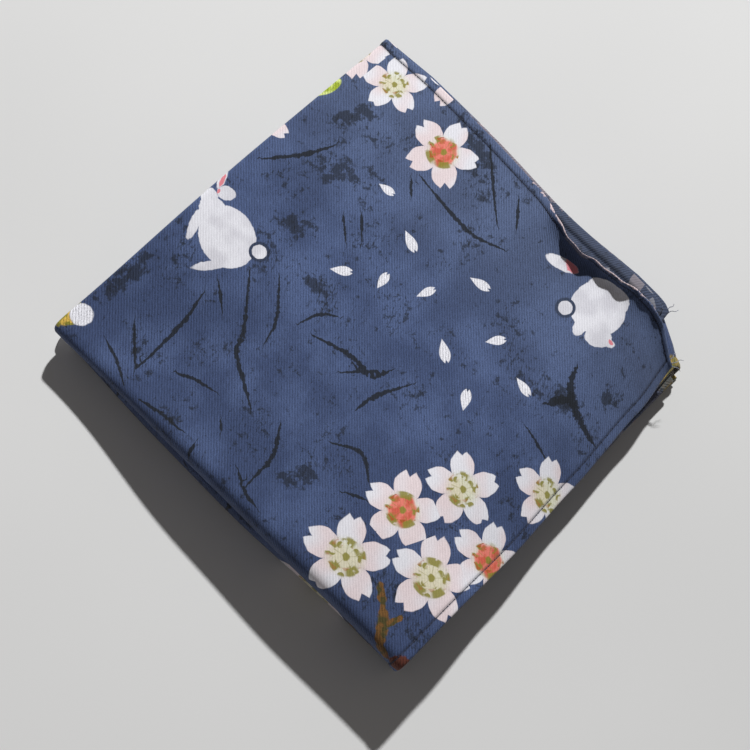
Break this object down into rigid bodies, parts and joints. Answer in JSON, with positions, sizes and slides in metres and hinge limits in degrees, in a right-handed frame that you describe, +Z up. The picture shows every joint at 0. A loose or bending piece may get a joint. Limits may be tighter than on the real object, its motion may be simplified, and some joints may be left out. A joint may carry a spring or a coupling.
{
  "type": "folded furoshiki",
  "caption": "Square cotton wrapping cloth with a flower, rabbit and brush-mark print, folded in four each way into a flat square packet.",
  "frame": {"origin": "middle of the packet's footprint, on the surface that it lies on", "axes": "+Z up, +X towards the hemmed side of the top layer, +Y towards the side where the stacks end; the cloth's open corners meet at +X +Y"},
  "size_m": [0.1278, 0.1288, 0.0255],
  "materials": {
    "printed_cotton": "matt cotton twill, navy ground with a printed pattern"
  },
  "bodies": {
    "root": {"furoshiki_cloth": "printed_cotton"}
  },
  "joints": []
}
